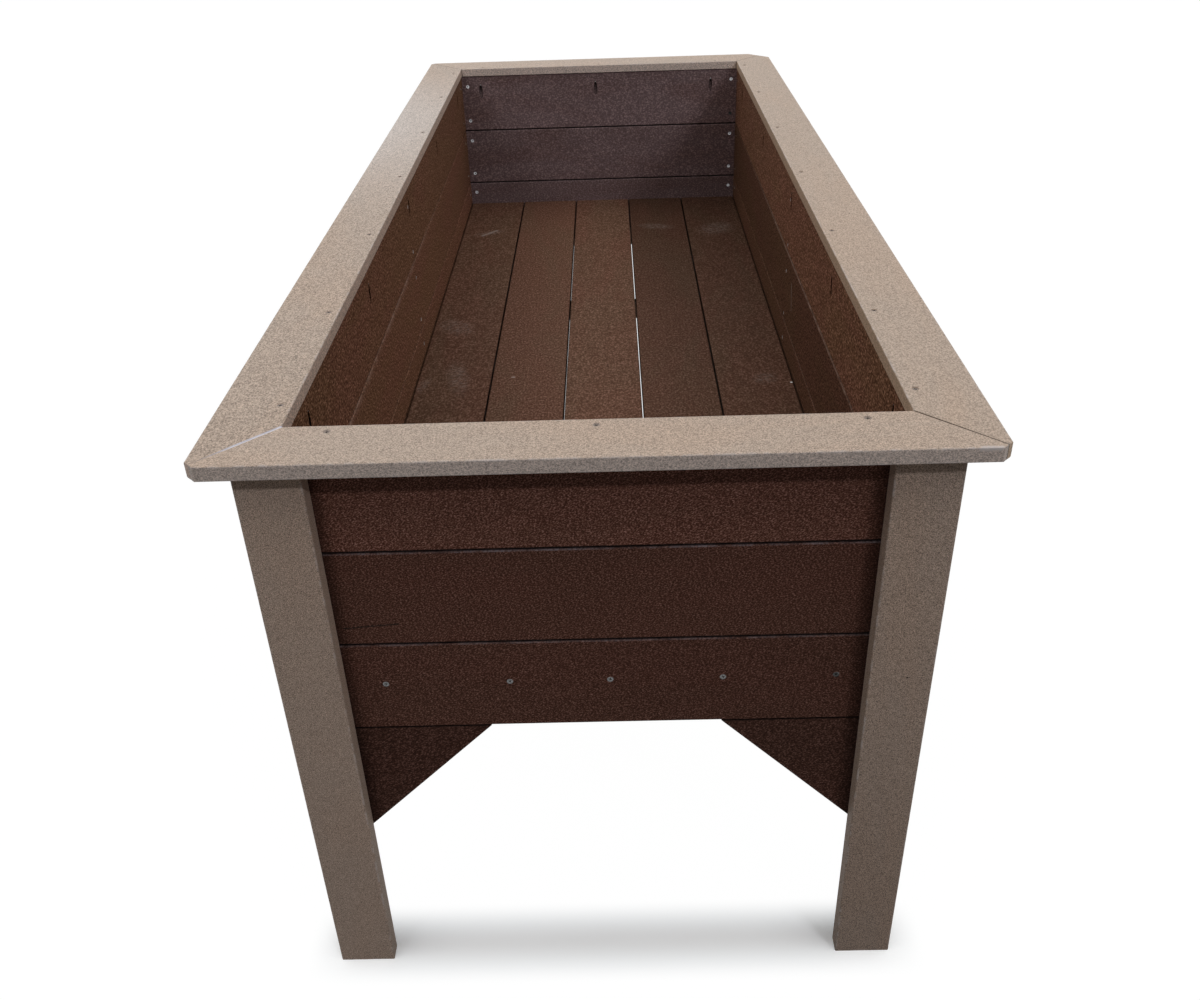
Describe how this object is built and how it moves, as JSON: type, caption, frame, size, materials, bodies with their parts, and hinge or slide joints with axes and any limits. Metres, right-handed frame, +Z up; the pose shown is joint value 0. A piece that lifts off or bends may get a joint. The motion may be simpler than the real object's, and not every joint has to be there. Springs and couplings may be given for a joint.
{
  "type": "raised garden bed",
  "caption": "Long raised garden bed on flat board legs: an open planting box of stacked dark brown planks with a slatted drainage floor, under a flat mitred tan rim.",
  "frame": {"origin": "on the ground under the middle of the bed", "axes": "+Z up, +Y along the bed away from the near end, +X to the right seen from the near end"},
  "size_m": [0.8992, 2.155, 0.889],
  "materials": {
    "rim_tan": "tan recycled plastic board, fine pebbled speckle",
    "leg_tan": "tan recycled plastic board, fine pebbled speckle",
    "wall_brown": "dark brown recycled plastic board, fine brushed grain",
    "floor_brown": "dark brown recycled plastic board, mottled, with pale scuffs",
    "zinc_screw": "zinc plated steel",
    "coated_screw": "zinc plated steel, dulled"
  },
  "bodies": {
    "root": {"back_plank_bottom": "wall_brown", "back_plank_middle": "wall_brown", "back_plank_top": "wall_brown", "end_wall_screws": "zinc_screw", "floor_end_screws": "zinc_screw", "floor_joist_1": "leg_tan", "floor_joist_2": "leg_tan", "floor_joist_3": "leg_tan", "floor_joist_4": "leg_tan", "floor_plank_1": "floor_brown", "floor_plank_2": "floor_brown", "floor_plank_3": "floor_brown", "floor_plank_4": "floor_brown", "floor_plank_5": "floor_brown", "front_plank_bottom": "wall_brown", "front_plank_middle": "wall_brown", "front_plank_top": "wall_brown", "gusset_back_left": "wall_brown", "gusset_back_right": "wall_brown", "gusset_front_left": "wall_brown", "gusset_front_right": "wall_brown", "gusset_screws": "zinc_screw", "joist_screws": "zinc_screw", "left_plank_bottom": "wall_brown", "left_plank_middle": "wall_brown", "left_plank_top": "wall_brown", "leg_back_left_end": "leg_tan", "leg_back_left_side": "leg_tan", "leg_back_right_end": "leg_tan", "leg_back_right_side": "leg_tan", "leg_front_left_end": "leg_tan", "leg_front_left_side": "leg_tan", "leg_front_right_end": "leg_tan", "leg_front_right_side": "leg_tan", "leg_middle_left": "leg_tan", "leg_middle_right": "leg_tan", "pocket_screws": "zinc_screw", "right_plank_bottom": "wall_brown", "right_plank_middle": "wall_brown", "right_plank_top": "wall_brown", "rim_back": "rim_tan", "rim_front": "rim_tan", "rim_left": "rim_tan", "rim_right": "rim_tan", "rim_screws": "coated_screw", "side_wall_screws": "zinc_screw"}
  },
  "joints": []
}
